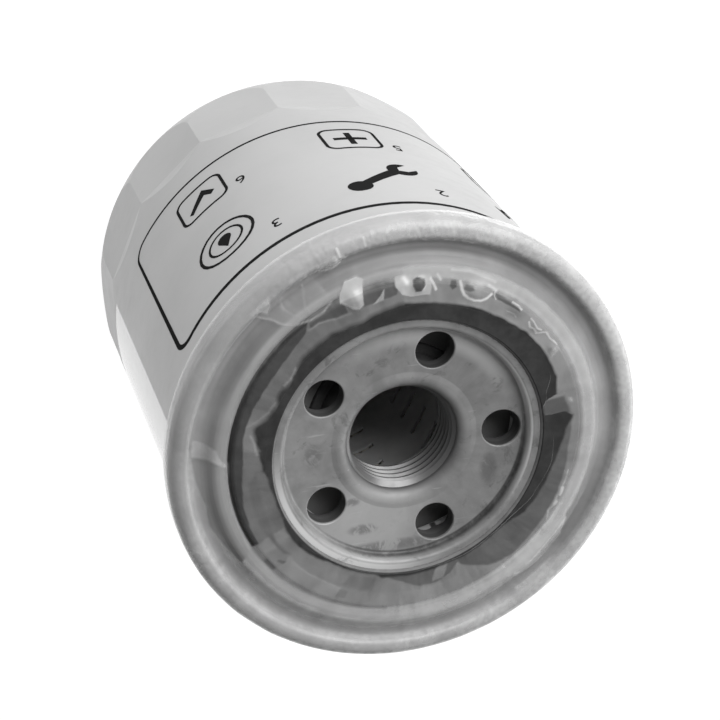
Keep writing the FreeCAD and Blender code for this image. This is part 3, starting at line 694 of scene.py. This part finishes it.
# Where the film visibly ends over the gasket: angle, radius.
SEEN_EDGE = ((-180, 25.7), (-174, 25.0), (-168, 24.2), (-160, 23.7), (-150, 23.7), (-143, 24.3), (-135, 24.4),
             (-126, 24.1), (-118, 23.5), (-97, 23.4), (-94, 23.9), (-86, 23.8), (-62, 23.4), (-38, 23.4),
             (-34, 23.9), (-28, 25.0), (-20, 25.5), (-10, 25.8), (0, 26.4), (7, 27.1), (12.5, 28.3),
             (14.2, 27.6), (15.6, 23.4), (21.5, 23.4), (23, 26.2), (30, 27.1), (40, 27.3), (50, 27.2),
             (60, 26.8), (70, 26.6), (90, 26.3), (100, 26.6), (110, 26.2), (116, 25.6), (122, 25.9),
             (128, 26.3), (140, 26.4), (147, 25.6), (151, 25.2), (156, 25.7), (161, 25.1), (166, 25.8),
             (172, 27.2), (176, 26.6), (180, 25.7))

# Cloudiness round the gasket, the bead, the channel, the crest and the outside: angle, value. Its changes
# round the rim are partly painted light: it is raised where the lid lies in shade, and over the outside it is
# a painted sheen on one half.
OVER_GASKET = ((-180, 0.10), (-168, 0.10), (-150, 0.09), (-145.6, 0.10), (-144.6, 0.16), (-141, 0.16),
               (-139.6, 0.13), (-134, 0.15), (-132.8, 0.20), (-110, 0.20), (-108, 0.16), (-97, 0.17),
               (-62, 0.19), (-30, 0.18), (10, 0.15), (40, 0.20), (90, 0.19), (104, 0.12), (140, 0.09),
               (180, 0.12))
OVER_BEAD = ((-180, 0.02), (-150, 0.03), (-142, 0.10), (-110, 0.18), (-75, 0.30), (-45, 0.38), (-20, 0.26),
             (15, 0.34), (45, 0.40), (75, 0.45), (95, 0.40), (106, 0.16), (140, 0.08), (180, 0.02))
OVER_CHANNEL = ((-180, 0.20), (-156, 0.26), (-142, 0.34), (-100, 0.40), (-60, 0.30), (-38, 0.18), (-30, 0.08),
                (10, 0.12), (60, 0.10), (95, 0.08), (120, 0.08), (145, 0.06), (180, 0.09))
OVER_CREST = ((-180, 0.16), (-150, 0.22), (-100, 0.24), (-60, 0.32), (-10, 0.36), (40, 0.34), (90, 0.30),
              (130, 0.20), (150, 0.10), (180, 0.10))
OVER_SKIRT = ((-180, 0.16), (-150, 0.30), (-115, 0.60), (-75, 0.90), (-20, 0.90), (20, 0.75), (48, 0.40),
              (70, 0.22), (120, 0.22), (180, 0.16))

# Cloudier and clearer areas, partly real haze and partly painted light, the brightest being painted
# reflections on the film's lumps and folds: outline of (angle, radius), soft edge in millimetres, value.
AREAS = (
    (((-176.5, 31.2), (-160, 31.0), (-144, 31.2), (-142, 33.4), (-150, 34.3), (-156, 35.0), (-163, 34.6),
      (-170, 35.6), (-177.5, 36.4)), 0.5, 0.04),
    (((-134, 26.7), (-120, 26.9), (-109, 27.0), (-97, 26.9), (-80, 26.9), (-64, 26.6), (-62, 23), (-100, 22),
      (-134, 22)), 0.4, 0.155),
    (((-172, 26.1), (-165, 25.6), (-150, 26.0), (-142, 26.6), (-134, 26.3), (-136, 27.0), (-150, 27.6),
      (-168, 27.4)), 0.8, 0.075),
    (((-64, 22), (-61, 25), (-55, 27), (-50, 28.3), (-44, 29.2), (-30, 28.9), (-18, 28.6), (-5, 28.3),
      (0, 27.9), (9, 28.1), (13, 28.6), (13, 22)), 0.5, 0.065),
    (((-93, 22), (-92, 24.0), (-85, 25.0), (-79, 26.3), (-72, 26.5), (-66, 25.5), (-61.5, 24), (-61, 22)),
      0.35, 0.07),
    (((-73.5, 26), (-72, 24), (-68.5, 22), (-64, 22), (-67.5, 24.6), (-69.5, 26)), 0.5, 0.16),
    (((13.5, 28.2), (15.8, 22), (23, 22), (21.6, 25.5), (20.6, 27.4)), 0.9, 0.045),
    (((131.5, 30.5), (134, 29.0), (140, 28.4), (146, 28.15), (156, 28.0), (162, 28.3), (170, 28.6),
      (177, 28.55), (183, 28.1), (190, 28.3), (200, 28.9), (210, 29.1), (214.7, 29.25), (214.7, 30.5),
      (180, 30.6)), 0.3, 0.02),
    (((101.5, 30.4), (102.5, 28.2), (108, 27.9), (114, 27.7), (113, 30.4)), 0.35, 0.05),
    (((119.5, 30.3), (119.5, 27.6), (124, 27.9), (129, 28.7), (132, 29.3), (131.5, 30.3)), 0.3, 0.04),
    (((-109, 26.6), (-97, 26.6), (-97, 24), (-108, 24.5)), 0.9, 0.12),
    (((-109.2, 27.4), (-105.6, 27.4), (-105.6, 28.9), (-109.2, 29.1)), 0.3, 0.12),
    (((-138.5, 29.6), (-133.6, 29.6), (-133.6, 30.5), (-138.5, 30.5)), 0.4, 0.07),
    (((-135.5, 28.3), (-132.8, 27.6), (-133, 28.3), (-135.3, 28.8)), 0.3, 0.08),
    (((-90, 29.6), (-60, 29.5), (-44, 29.6), (-30, 29.9), (-20, 30.3), (-20, 31), (-90, 31)), 0.45, 0.34),
    (((-59, 32.3), (-51, 32.3), (-51, 33.3), (-58, 33.4)), 0.6, 0.30),
    (((-51, 32.0), (-23, 32.0), (-24.5, 33.2), (-30, 34.7), (-40, 34.9), (-47, 34.4)), 0.5, 0.34),
    (((-50, 36.2), (-37, 36.1), (-37, 38), (-50, 38)), 0.4, 0.30),
    (((113.6, 28), (115.5, 27.6), (117.6, 28.2), (120, 30.1), (113.2, 30.3)), 0.3, 0.33),
    (((113.2, 30.1), (120.2, 30.1), (119.3, 31.5), (116.6, 33), (113, 33), (111.4, 32.2)), 0.3, 0.5),
    (((91, 27.6), (98, 27.5), (101, 28.1), (102.7, 29.6), (102.2, 31.2), (91.5, 31.2)), 0.3, 0.42),
    (((93.3, 29.3), (94.2, 28.3), (96.2, 28.2), (97.3, 29.2), (97.0, 30.2), (95.5, 30.7), (93.6, 30.3)),
      0.35, 0.05),
    (((76.6, 29.2), (78.2, 28.8), (80.3, 29.0), (80.0, 29.9), (77.4, 29.8)), 0.35, 0.07),
    (((82.5, 29.2), (83.8, 28.7), (85.2, 29.3), (84.9, 30.2), (83.2, 30.2)), 0.3, 0.05),
    (((58.5, 29.1), (69.8, 29.0), (70.2, 30.0), (60, 29.6)), 0.25, 0.06),
    (((36.8, 27.8), (39.4, 28.0), (39.8, 29.5), (37.6, 29.6)), 0.4, 0.30),
    (((106.3, 29.6), (107, 27.8), (110.5, 27.6), (108, 28.6)), 0.25, 0.30),
    (((115.5, 36), (118.5, 35.2), (121.8, 36), (122, 37.8), (116, 38)), 0.4, 0.34),
    (((122, 31), (126, 30.6), (130, 30.6), (135, 31.2), (138, 33), (140.3, 36), (137, 37), (124, 36.6)),
      0.5, 0.13),
    (((177.5, 36.6), (178.6, 33.4), (184.5, 31.0), (183.2, 34.0), (181.8, 36.4)), 0.4, 0.22),
    (((135.2, 38), (136.3, 36.3), (138.2, 35.2), (139.2, 36.8), (141, 37.9)), 0.3, 0.40),
    (((123, 37.9), (125, 36.6), (128.5, 37.3), (130, 38)), 0.4, 0.26),
)

# Creases with painted highlights, drawn as lines of cloudier film: points of (angle, radius), width in
# millimetres, value.
CREASES = (
    (((70.6, 29.4), (71.5, 28.6), (73.2, 28.0), (75.5, 27.65), (77.5, 27.65), (79.5, 28.1), (80.8, 29.0),
      (81.8, 30.2)), 0.34, 0.85),
    (((40, 29.5), (43, 29.3), (46, 29.4), (47.5, 28.6), (48.5, 28.2)), 0.24, 0.48),
    (((48.5, 28.2), (50.5, 28.4), (52, 28.1), (53.5, 28.6)), 0.26, 0.55),
    (((48, 29.1), (50, 28.8), (52, 29.2), (53.5, 29.2)), 0.24, 0.5),
    (((58.8, 29.55), (60.5, 29.75), (62.4, 29.7)), 0.26, 0.6),
    (((58.5, 28.0), (60, 28.25), (62.5, 28.0)), 0.2, 0.34),
    (((68, 29.0), (69.3, 29.4), (69.7, 30.0)), 0.24, 0.4),
    (((69.5, 30.3), (71, 30.5), (72.6, 30.6)), 0.4, 0.7),
    (((71, 31.5), (76, 31.8), (80, 32.0), (85, 31.9)), 0.4, 0.75),
    (((89.6, 28.6), (90.6, 29.5), (91.6, 30.3)), 0.34, 0.8),
    (((98.9, 30.0), (99.8, 30.7)), 0.7, 0.95),
    (((88.2, 30.2), (89.3, 31.0)), 0.3, 0.7),
    (((-131, 27.15), (-120, 27.05), (-109, 27.15)), 0.25, 0.24),
    (((-27, 29.6), (-24, 28.9), (-22, 29.2), (-19, 29.0), (-14, 29.1), (-8, 29.0)), 0.22, 0.32),
    (((-21, 29.3), (-20.2, 29.4)), 0.5, 0.5),
    (((-17.5, 29.4), (-14.6, 29.3)), 0.4, 0.55),
    (((-46.9, 33.3), (-46.2, 33.6)), 0.45, 0.7),
    (((-178.6, 34.2), (-177, 32.6), (-175, 31.1)), 0.5, 0.26),
    (((-176, 30.65), (-160, 30.7), (-147, 30.65)), 0.22, 0.16),
    (((122.4, 31), (126, 30.1), (130, 30.15), (134.6, 31), (137.8, 33), (140.3, 35.6), (141, 37.2)),
      0.22, 0.28),
    (((127, 35.6), (129, 33), (130, 31.4)), 0.2, 0.2),
    (((132.6, 36.4), (134.4, 34), (133.2, 31.8)), 0.2, 0.2),
    (((118.6, 27.6), (124, 28.0), (129, 29.0), (132.6, 29.2)), 0.35, 0.16),
    (((145, 26.0), (149, 25.4), (152.5, 25.7)), 0.3, 0.17),
    (((159.6, 25.5), (164, 25.9), (168, 27.0), (171, 28.4)), 0.3, 0.16),
    (((174, 27.6), (177, 26.6), (181, 26.0)), 0.35, 0.18),
    (((18.0, 28.5), (18.9, 28.3)), 0.4, 0.3),
    (((81, 36.6), (84, 36.8)), 0.3, 0.6),
    (((86.2, 36.6), (88.4, 36.7)), 0.3, 0.5),
    (((93.4, 36.6), (95, 37.2), (96.4, 38.8)), 0.28, 0.5),
    (((104, 37.6), (104.6, 38.6)), 0.3, 0.4),
    (((108.8, 37.4), (109.4, 39)), 0.28, 0.6),
    (((114.3, 36.8), (115.6, 37.6), (115.8, 38.8)), 0.34, 0.62),
    (((-152.6, 39), (-151, 38.2), (-149.6, 38.4)), 0.35, 0.3),
    (((-148.4, 39), (-147.8, 38)), 0.25, 0.1),
)

# A crease with a value below this is laid on even where the film is cloudier.
CLEAR_CREASE = 0.15


def inside(outline, x, y):
    """How far a flat point is inside an outline, in millimetres; negative outside it."""
    within = False
    nearest = math.inf
    for (x0, y0), (x1, y1) in zip(outline, outline[1:] + outline[:1]):
        if (y0 > y) != (y1 > y) and x < x0 + (x1 - x0) * (y - y0) / (y1 - y0):
            within = not within
        nearest = min(nearest, off_line(x0, y0, x1, y1, x, y))
    return nearest if within else -nearest


def off_line(x0, y0, x1, y1, x, y):
    """Distance of a flat point from a piece of line."""
    along_x, along_y = x1 - x0, y1 - y0
    t = ((x - x0) * along_x + (y - y0) * along_y) / (along_x * along_x + along_y * along_y)
    t = max(0.0, min(1.0, t))
    return math.hypot(x - x0 - t * along_x, y - y0 - t * along_y)


def laid_out(marks):
    """Brings marks given by angle and radius to flat millimetres, each with the box it fills."""
    result = []
    for points, width, value in marks:
        flat = tuple((degrees * MARK_STEP, radius) for degrees, radius in points)
        xs, ys = zip(*flat)
        result.append((flat, (min(xs) - 1, max(xs) + 1, min(ys) - 1, max(ys) + 1), width, value))
    return result


FLAT_AREAS = laid_out(AREAS)
FLAT_CREASES = laid_out(CREASES)


def marks_near(marks, degrees, radius):
    """The marks whose box holds that place, each with the flat x of the place."""
    whole = 360 * MARK_STEP
    for points, (west, east, low, high), width, value in marks:
        if low < radius < high:
            for turn in (0, whole, -whole):
                x = degrees * MARK_STEP + turn
                if west < x < east:
                    yield points, width, value, x
                    break


def broad_haze(degrees, radius):
    """How cloudy the film is over the forms of the lid, before its marks."""
    if radius <= 32.2:
        return mixed(eased(OVER_GASKET, degrees), eased(OVER_BEAD, degrees), ramp(radius, 30.2, 30.6))
    channel = eased(OVER_CHANNEL, degrees)
    channel -= 0.9 * max(0.0, channel - 0.14) * ramp(radius, 34.4, 35.2)
    haze = mixed(eased(OVER_BEAD, degrees), channel, ramp(radius, 32.2, 32.8))
    haze = mixed(haze, eased(OVER_CREST, degrees), ramp(radius, 36.2, 37.0))
    # Over the seam's outer edge it grows cloudier on one half of the rim, a painted sheen that whitens that
    # edge.
    edge = ramp(radius, 38.7, 39.6) * ramp(degrees, -8, -28)
    return haze + max(0.0, eased(OVER_SKIRT, degrees) - haze) * edge


def film_haze(degrees, radius, height):
    """How cloudy the film is there, from 0 to 1, with its painted highlights and sheen."""
    angle = math.radians(degrees)
    spot = Vector((math.cos(angle) * 5, math.sin(angle) * 5, radius * 0.15))
    degrees = (degrees + MARK_TURN + 180) % 360 - 180
    radius /= MARK_SCALE
    # Down the seam's outer wall the cloudiness is a painted sheen, stronger on one half of the rim.
    if height < 99.6 and radius > 38.8:
        return eased(OVER_SKIRT, degrees)
    # The marks' outlines waver a little.
    degrees += 0.5 * noise.noise(spot * 3)
    radius += 0.14 * noise.noise(spot * 4)
    haze = broad_haze(degrees, radius)
    for outline, soft, value, x in marks_near(FLAT_AREAS, degrees, radius):
        haze = mixed(haze, value, softened(ramp(inside(outline, x, radius), -soft / 2, soft / 2)))
    seen = eased(SEEN_EDGE, degrees)
    soft = 0.9 if degrees > 100 else 0.45
    haze *= ramp(radius, seen - soft / 2, seen + soft / 2)
    # The fold along the gasket's outer edge.
    if radius < 30.4 and -145 < degrees < 132:
        haze += 0.035 * ramp(radius, 29.8, 30.0)
    # Over the seam it is mottled.
    if radius > 35:
        ripple = noise.noise(spot * 9) + 0.35 * noise.noise(spot * 21)
        haze *= 1 + 0.32 * ramp(radius, 35, 36.5) * ripple
    # Painted highlights along the creases.
    for points, width, value, x in marks_near(FLAT_CREASES, degrees, radius):
        if value > haze or value < CLEAR_CREASE:
            off = min(off_line(*start, *end, x, radius) for start, end in zip(points, points[1:]))
            haze = mixed(haze, value, math.exp(-(off / (0.6 * width)) ** 2))
    return haze


def film_freedom(radius, height):
    """How far the film is free to leave what it covers, from 0 for tight to 1 for loose."""
    if height < 99.2 and radius > 41:
        return 0.35
    if radius > 38.8:
        return 0.25
    if radius > 34.6:
        return 0.8
    if radius > 32.4:
        return 0.3
    return 1.0


def wrinkle(degrees, radius, height):
    """How far the film stands off its path there, in millimetres."""
    angle = math.radians(degrees)
    around = Vector((math.cos(angle), math.sin(angle), 0))
    fine = noise.noise(around * 22 + Vector((0, 0, radius * 0.22 + height * 0.12)))
    broad = noise.noise(around * 7 + Vector((3, 1, radius * 0.12 + height * 0.1)))
    lift = film_freedom(radius, height) * (0.08 * abs(fine) + 0.25 * max(broad, 0))
    # It is crinkled on one side of the seam.
    if 30 < degrees < 140 and radius > 37:
        crinkle = noise.noise(around * 60 + Vector((0, 0, radius * 0.9 + height * 0.5)))
        lift += 0.16 * abs(crinkle) * min((degrees - 30) / 20, (140 - degrees) / 20, 1)
    for at_degrees, at_radius, wide, deep, high in LUMPS:
        a, b = (degrees - at_degrees) / wide, (radius - at_radius) / deep
        if abs(a) < 3 and abs(b) < 3 and height > 99:
            lift += high * math.exp(-a * a - b * b)
    return max(lift, -0.05)


FILM_ROUNDS = 1080
FILM_STEPS = 64
FLAP_STEPS = 26
FILM_THICKNESS = 0.05
# A place inside the seam, by radius and height. The film's outer side faces away from it.
SEAM_MIDDLE = Vector((37, 94))


def film_lines():
    """Round the axis, each angle with the film's path over the rim and its loose inner flap."""
    path = resampled(spline(FILM_PATH), FILM_STEPS)
    for j in range(FILM_ROUNDS):
        degrees = -180 + 360 * j / FILM_ROUNDS
        angle = math.radians(degrees)
        edge = eased(FLAP_EDGE, degrees)
        edge += 0.12 * noise.noise(Vector((math.cos(angle) * 6, math.sin(angle) * 6, 1.5)))
        curl = 0.25 + 0.25 * noise.noise(Vector((math.cos(angle) * 5, math.sin(angle) * 5, 7.5)))
        flap = []
        for k in range(1, FLAP_STEPS + 1):
            t = k / FLAP_STEPS
            flap.append((mixed(FLAP_START, edge, t), FLAP_HEIGHT + 0.02 * t + curl * t ** 6))
        yield degrees, path + flap


def film_normal(line, k):
    """Direction off the film at a point of a line."""
    if k >= FILM_STEPS:
        return Vector((0, 1))
    along = (Vector(line[k + 1]) - Vector(line[max(k - 1, 0)])).normalized()
    normal = Vector((along.y, -along.x))
    return normal if normal.dot(Vector(line[k]) - SEAM_MIDDLE) >= 0 else -normal


def sleeve_faces(rounds, count):
    """Faces of a closed sleeve: its two sides and its two edges."""
    shift = rounds * count
    faces = []
    for j in range(rounds):
        here, after = j * count, (j + 1) % rounds * count
        for k in range(count - 1):
            a, b = here + k, after + k
            faces.append((a, b, b + 1, a + 1))
            faces.append((a + shift, a + 1 + shift, b + 1 + shift, b + shift))
        faces.append((here, here + shift, after + shift, after))
        a, b = here + count - 1, after + count - 1
        faces.append((a, b, b + shift, a + shift))
    return faces


def make_film():
    """Clear film drawn over the rim, with wrinkles, lumps and a loose, wavy inner edge."""
    outer, inner, haze = [], [], []
    for degrees, line in film_lines():
        angle = math.radians(degrees)
        for k, (radius, height) in enumerate(line):
            normal = film_normal(line, k)
            lift = wrinkle(degrees, radius, height)
            for points, off in ((outer, lift), (inner, lift - FILM_THICKNESS)):
                spot = Vector((radius, height)) + normal * off
                points.append((spot.x * math.cos(angle) * MM, spot.x * math.sin(angle) * MM, spot.y * MM))
            haze.append(film_haze(degrees, radius, height))
    data = bpy.data.meshes.new("film_sleeve")
    data.from_pydata(outer + inner, [], sleeve_faces(FILM_ROUNDS, FILM_STEPS + FLAP_STEPS))
    cloudiness = data.attributes.new("haze", "FLOAT", "POINT")
    cloudiness.data.foreach_set("value", haze + haze)
    film = bpy.data.objects.new("film_sleeve", data)
    bpy.context.scene.collection.objects.link(film)
    mesh = bmesh.new()
    mesh.from_mesh(data)
    bmesh.ops.recalc_face_normals(mesh, faces=mesh.faces)
    mesh.to_mesh(data)
    mesh.free()
    for face in data.polygons:
        face.use_smooth = True
    data.materials.append(LOOKS["film"])
    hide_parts("shrink_film")
    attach(film, "housing")


# ---------------------------------------------------------------- floor, light and camera

FLOOR_HALF = 12.0
FLOOR_HEIGHT = -0.0002
LIGHT_AIM = Vector((0, 0, 0.07))
CAMERA_PLACE = Vector((-0.0901, 0.1638, 0.3965))
CAMERA_AZIMUTH, CAMERA_ELEVATION, CAMERA_ROLL = 119.22, 60.61, 146.5
CAMERA_LENS = 101.4


def make_floor():
    mesh = bmesh.new()
    corners = ((-1, -1), (1, -1), (1, 1), (-1, 1))
    mesh.faces.new([mesh.verts.new((x * FLOOR_HALF, y * FLOOR_HALF, FLOOR_HEIGHT)) for x, y in corners])
    floor = piece_from(mesh, "floor", "floor")


def direction(azimuth, elevation):
    """Unit vector at an azimuth from +X and an elevation, in degrees."""
    a, e = math.radians(azimuth), math.radians(elevation)
    return Vector((math.cos(e) * math.cos(a), math.cos(e) * math.sin(a), math.sin(e)))


def area_light(name, azimuth, elevation, distance, width, height, power):
    data = bpy.data.lights.new(name, "AREA")
    data.shape = "RECTANGLE"
    data.size = width
    data.size_y = height
    data.energy = power
    light = bpy.data.objects.new(name, data)
    back = direction(azimuth, elevation)
    light.location = LIGHT_AIM + back * distance
    light.rotation_euler = back.to_track_quat("Z", "Y").to_euler()
    bpy.context.scene.collection.objects.link(light)


def make_world():
    world = bpy.data.worlds.new("studio")
    world.use_nodes = True
    backdrop = world.node_tree.nodes["Background"]
    backdrop.inputs["Color"].default_value = (1, 1, 1, 1)
    backdrop.inputs["Strength"].default_value = 0.16
    bpy.context.scene.world = world


def make_camera():
    lens = bpy.data.cameras.new("camera")
    lens.lens = CAMERA_LENS
    lens.sensor_width = 36.0
    lens.clip_start = 0.01
    camera = bpy.data.objects.new("camera", lens)
    back = direction(CAMERA_AZIMUTH, CAMERA_ELEVATION)
    level = Vector((0, 0, 1)).cross(back).normalized()
    up = back.cross(level)
    turn = math.radians(CAMERA_ROLL)
    right = level * math.cos(turn) + up * math.sin(turn)
    top = back.cross(right)
    camera.matrix_world = Matrix.Translation(CAMERA_PLACE) @ Matrix((right, top, back)).transposed().to_4x4()
    bpy.context.scene.collection.objects.link(camera)
    bpy.context.scene.camera = camera


make_camera()
make_floor()
make_world()
area_light("key", 62, 37, 0.9, 0.8, 0.8, 11.5)
area_light("back", -30, 12, 0.9, 0.9, 0.4, 4.0)
dress_nodes()
print_panel()
gasket_lip()
make_film()
bpy.context.scene.view_settings.view_transform = "Standard"
